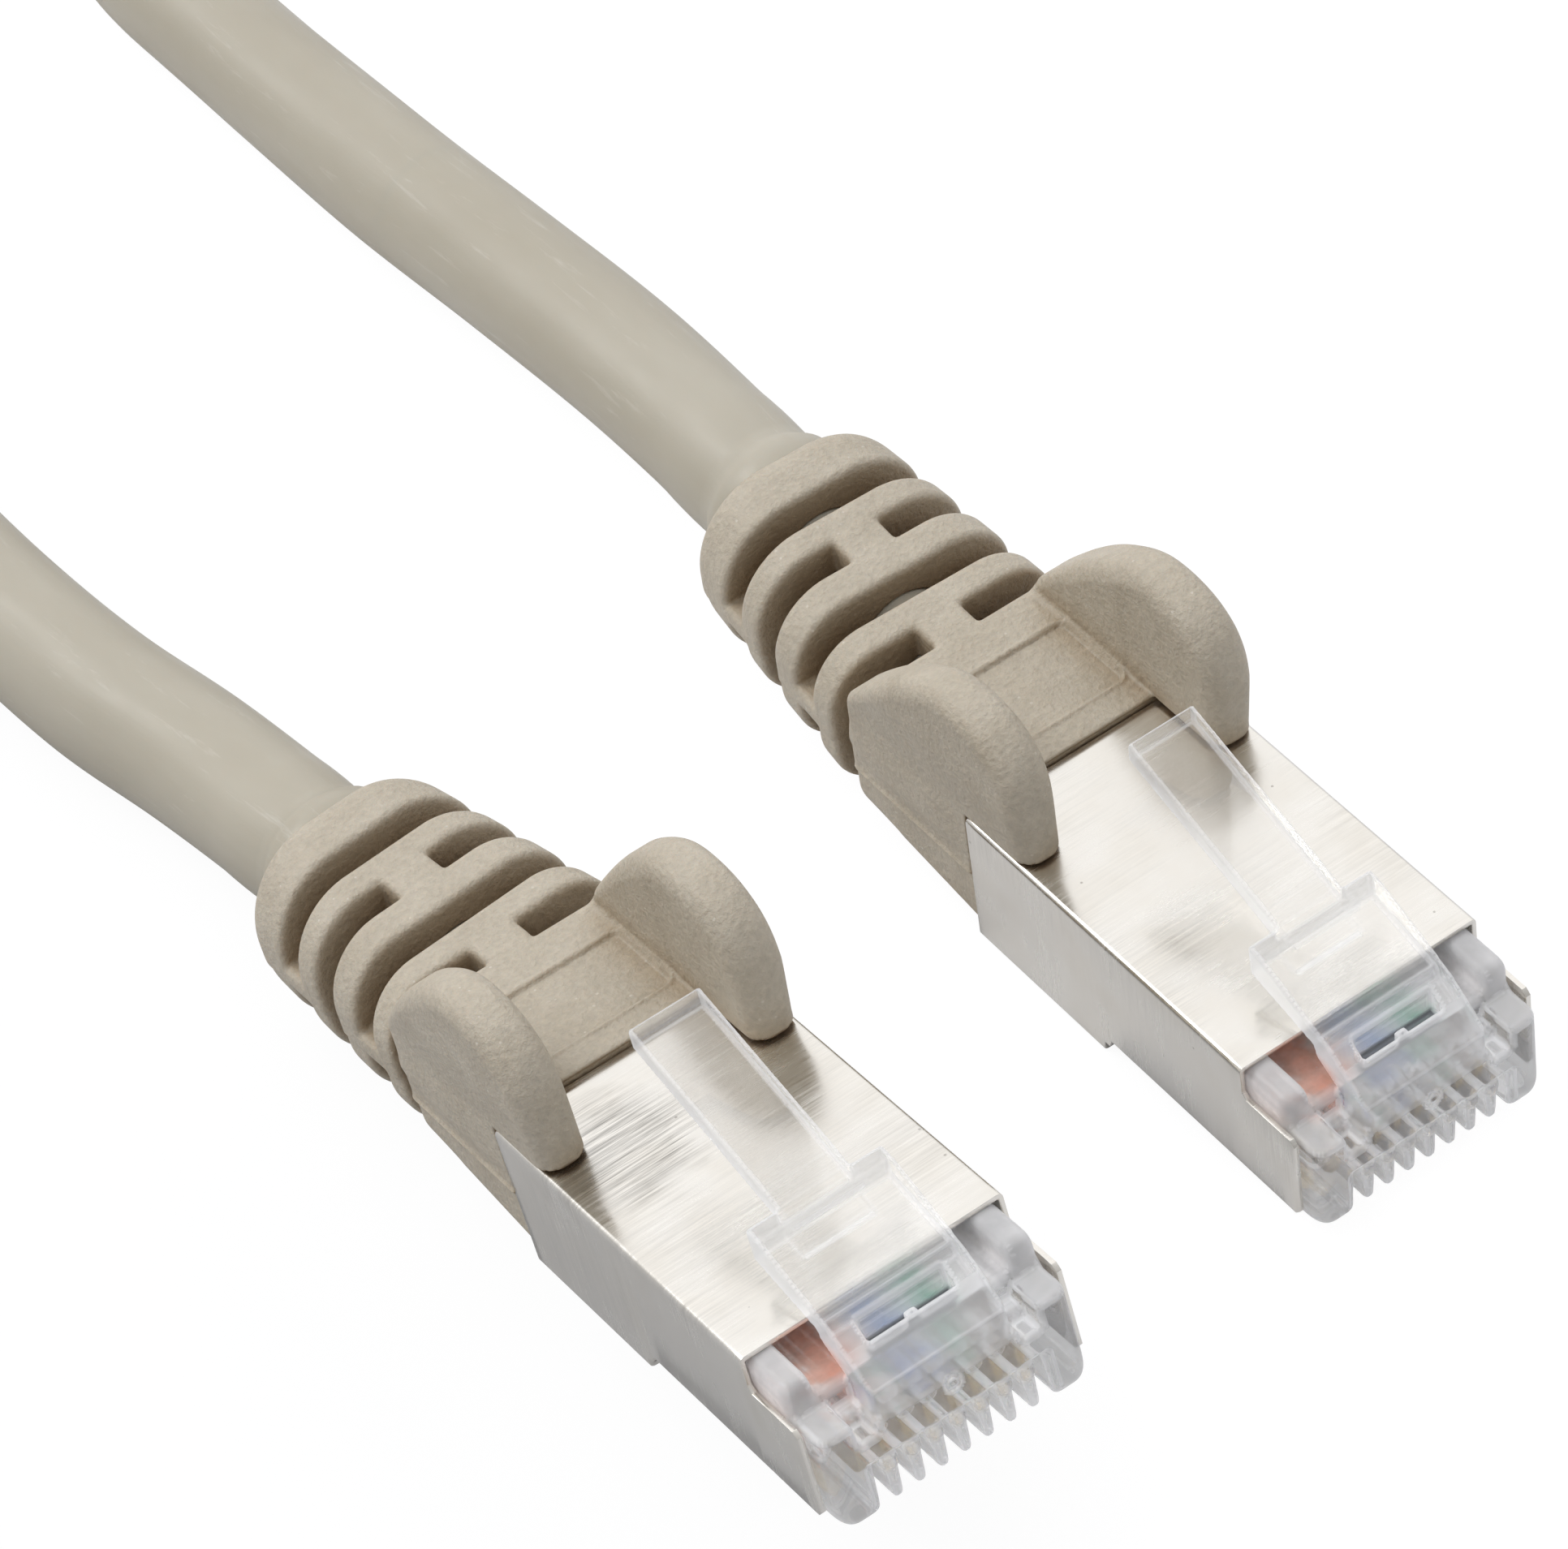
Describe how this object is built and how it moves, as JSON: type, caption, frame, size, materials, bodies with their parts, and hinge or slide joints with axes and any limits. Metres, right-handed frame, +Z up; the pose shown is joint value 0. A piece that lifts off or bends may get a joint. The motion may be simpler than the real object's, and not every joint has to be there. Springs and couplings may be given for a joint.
{
  "type": "ethernet patch cable",
  "caption": "Short shielded ethernet patch cable with a clear RJ45 plug, metal shield, press latch and snagless strain relief boot at each end, lying in an open loop.",
  "frame": {"origin": "on the table plane, under the middle of the cable's bounding box", "axes": "+Z up from the table the cable lies on; +Y from the plug noses towards the loop; +X towards plug b; both plugs point along -Y, with the latch side up"},
  "size_m": [0.051, 0.1489, 0.0176],
  "materials": {
    "clear_housing": "clear moulded polycarbonate",
    "clear_latch": "clear moulded polycarbonate",
    "nickel_shield": "nickel plated sheet, fine brushed grain",
    "gold_contact": "gold plated",
    "boot_pvc": "fine matte grain, taupe",
    "jacket_pvc": "satin, grey beige",
    "organiser_plastic": "satin",
    "tinned_braid": "woven tinned copper",
    "wire_white_orange": "insulated conductor",
    "wire_orange": "insulated conductor",
    "wire_white_green": "insulated conductor",
    "wire_blue": "insulated conductor",
    "wire_white_blue": "insulated conductor",
    "wire_green": "insulated conductor",
    "wire_white_brown": "insulated conductor",
    "wire_brown": "insulated conductor"
  },
  "bodies": {
    "bend_1": {"jacket_bend_1": "jacket_pvc"},
    "bend_2": {"jacket_bend_2": "jacket_pvc"},
    "bend_3": {"jacket_bend_3": "jacket_pvc"},
    "bend_4": {"jacket_bend_4": "jacket_pvc"},
    "bend_5": {"jacket_bend_5": "jacket_pvc"},
    "bend_6": {"jacket_bend_6": "jacket_pvc"},
    "bend_7": {"jacket_bend_7": "jacket_pvc"},
    "bend_8": {"jacket_bend_8": "jacket_pvc"},
    "leg_a": {"jacket_leg_a": "jacket_pvc"},
    "tail_a": {"boot_tail_a": "boot_pvc", "jacket_tail_a": "jacket_pvc"},
    "latch_a": {"latch_a": "clear_latch"},
    "plug_a": {"boot_grip_a": "boot_pvc", "braid_a": "tinned_braid", "cable_end_a": "jacket_pvc", "conductor_a_1_white_orange": "wire_white_orange", "conductor_a_2_orange": "wire_orange", "conductor_a_3_white_green": "wire_white_green", "conductor_a_4_blue": "wire_blue", "conductor_a_5_white_blue": "wire_white_blue", "conductor_a_6_green": "wire_green", "conductor_a_7_white_brown": "wire_white_brown", "conductor_a_8_brown": "wire_brown", "contact_a_1": "gold_contact", "contact_a_2": "gold_contact", "contact_a_3": "gold_contact", "contact_a_4": "gold_contact", "contact_a_5": "gold_contact", "contact_a_6": "gold_contact", "contact_a_7": "gold_contact", "contact_a_8": "gold_contact", "plug_housing_a": "clear_housing", "shield_a": "nickel_shield", "wire_organiser_a": "organiser_plastic"},
    "leg_b": {"jacket_leg_b": "jacket_pvc"},
    "tail_b": {"boot_tail_b": "boot_pvc", "jacket_tail_b": "jacket_pvc"},
    "latch_b": {"latch_b": "clear_latch"},
    "plug_b": {"boot_grip_b": "boot_pvc", "braid_b": "tinned_braid", "cable_end_b": "jacket_pvc", "conductor_b_1_white_orange": "wire_white_orange", "conductor_b_2_orange": "wire_orange", "conductor_b_3_white_green": "wire_white_green", "conductor_b_4_blue": "wire_blue", "conductor_b_5_white_blue": "wire_white_blue", "conductor_b_6_green": "wire_green", "conductor_b_7_white_brown": "wire_white_brown", "conductor_b_8_brown": "wire_brown", "contact_b_1": "gold_contact", "contact_b_2": "gold_contact", "contact_b_3": "gold_contact", "contact_b_4": "gold_contact", "contact_b_5": "gold_contact", "contact_b_6": "gold_contact", "contact_b_7": "gold_contact", "contact_b_8": "gold_contact", "plug_housing_b": "clear_housing", "shield_b": "nickel_shield", "wire_organiser_b": "organiser_plastic"}
  },
  "joints": [
    {"name": "loop_open", "type": "hinge", "parent": "bend_4", "child": "bend_5", "pos_m": [0, 0.07191, 0.00305], "axis": [0, 0, -1], "range_deg": [0, 36]},
    {"name": "loop_follow_3", "type": "hinge", "parent": "bend_4", "child": "bend_3", "pos_m": [0.0139, 0.06739, 0.00305], "axis": [0, 0, 1], "range_deg": [0, 36]},
    {"name": "loop_follow_2", "type": "hinge", "parent": "bend_3", "child": "bend_2", "pos_m": [0.02249, 0.05557, 0.00305], "axis": [0, 0, 1], "range_deg": [0, 36]},
    {"name": "loop_follow_1", "type": "hinge", "parent": "bend_2", "child": "bend_1", "pos_m": [0.02249, 0.04095, 0.00305], "axis": [0, 0, 1], "range_deg": [0, 36]},
    {"name": "loop_follow_leg_b", "type": "hinge", "parent": "bend_1", "child": "leg_b", "pos_m": [0.0139, 0.02913, 0.00305], "axis": [0, 0, -1], "range_deg": [0, 36]},
    {"name": "loop_follow_6", "type": "hinge", "parent": "bend_5", "child": "bend_6", "pos_m": [-0.0139, 0.06739, 0.00305], "axis": [0, 0, -1], "range_deg": [0, 36]},
    {"name": "loop_follow_7", "type": "hinge", "parent": "bend_6", "child": "bend_7", "pos_m": [-0.02249, 0.05557, 0.00305], "axis": [0, 0, -1], "range_deg": [0, 36]},
    {"name": "loop_follow_8", "type": "hinge", "parent": "bend_7", "child": "bend_8", "pos_m": [-0.02249, 0.04095, 0.00305], "axis": [0, 0, -1], "range_deg": [0, 36]},
    {"name": "loop_follow_leg_a", "type": "hinge", "parent": "bend_8", "child": "leg_a", "pos_m": [-0.0139, 0.02913, 0.00305], "axis": [0, 0, 1], "range_deg": [0, 36]},
    {"name": "cable_swing_b", "type": "hinge", "parent": "leg_b", "child": "tail_b", "pos_m": [0.01449, -0.01534, 0.0044], "axis": [0, 0, 1], "range_deg": [-5, 25]},
    {"name": "cable_swing_a", "type": "hinge", "parent": "leg_a", "child": "tail_a", "pos_m": [-0.0121, -0.02018, 0.00308], "axis": [0, 0, -1], "range_deg": [-5, 25]},
    {"name": "boot_flex_b", "type": "hinge", "parent": "tail_b", "child": "plug_b", "pos_m": [0.01385, -0.03928, 0.00375], "axis": [-1, 0, 0], "range_deg": [0, 20]},
    {"name": "boot_flex_a", "type": "hinge", "parent": "tail_a", "child": "plug_a", "pos_m": [-0.01065, -0.04391, 0.00611], "axis": [-0.9995, 0.0209, -0.0253], "range_deg": [-8, 12]},
    {"name": "latch_press_a", "type": "hinge", "parent": "plug_a", "child": "latch_a", "pos_m": [-0.01142, -0.07186, 0.01337], "axis": [-0.9995, 0.0209, -0.0253], "range_deg": [0, 10]},
    {"name": "latch_press_b", "type": "hinge", "parent": "plug_b", "child": "latch_b", "pos_m": [0.01385, -0.06808, 0.006], "axis": [-1, 0, 0], "range_deg": [0, 10]}
  ],
  "couplings": [
    {"joint": "loop_follow_3", "follows": "loop_open", "ratio": 1},
    {"joint": "loop_follow_2", "follows": "loop_open", "ratio": 1},
    {"joint": "loop_follow_1", "follows": "loop_open", "ratio": 1},
    {"joint": "loop_follow_leg_b", "follows": "loop_open", "ratio": 1},
    {"joint": "loop_follow_6", "follows": "loop_open", "ratio": 1},
    {"joint": "loop_follow_7", "follows": "loop_open", "ratio": 1},
    {"joint": "loop_follow_8", "follows": "loop_open", "ratio": 1},
    {"joint": "loop_follow_leg_a", "follows": "loop_open", "ratio": 1}
  ]
}
